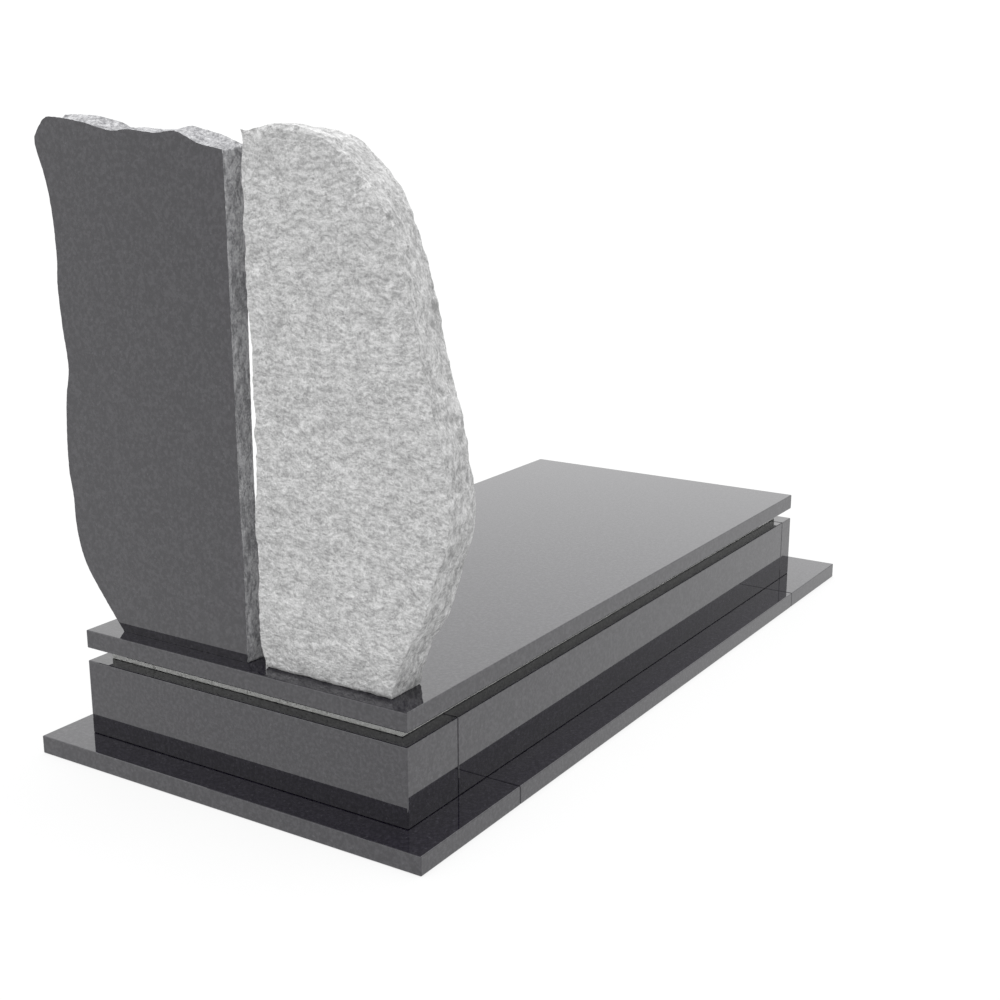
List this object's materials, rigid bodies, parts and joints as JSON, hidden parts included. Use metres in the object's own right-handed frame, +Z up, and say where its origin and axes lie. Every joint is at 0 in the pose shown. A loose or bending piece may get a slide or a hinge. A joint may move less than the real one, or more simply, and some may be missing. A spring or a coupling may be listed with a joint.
{
  "type": "single grave headstone",
  "caption": "Single grave monument in granite: a dark slab and a rough light stone stand on a long polished cover slab over a low frame and surround.",
  "frame": {"origin": "on the ground under the middle of the surround", "axes": "+Z up; the headstones stand at the +Y end; the foot end, where a visitor stands, faces -Y; +X is that visitor's right"},
  "size_m": [1.0055, 2.11, 1.3366],
  "materials": {
    "polished_dark_granite": "mirror polished dark granite with fine pale specks",
    "pitched_dark_granite": "polished faces with pitched, lighter grey broken edges",
    "grey_bed_granite": "honed grey granite",
    "light_split_granite": "rough split light grey granite"
  },
  "bodies": {
    "root": {"surround_back_slab": "polished_dark_granite", "surround_front_slab": "polished_dark_granite", "surround_left_slab": "polished_dark_granite", "surround_right_slab": "polished_dark_granite", "frame_back_block": "polished_dark_granite", "frame_front_panel": "polished_dark_granite", "frame_left_panel": "polished_dark_granite", "frame_right_panel": "polished_dark_granite", "recessed_bed_slab": "grey_bed_granite", "cover_slab": "polished_dark_granite", "dark_headstone": "pitched_dark_granite", "light_headstone": "light_split_granite"}
  },
  "joints": []
}
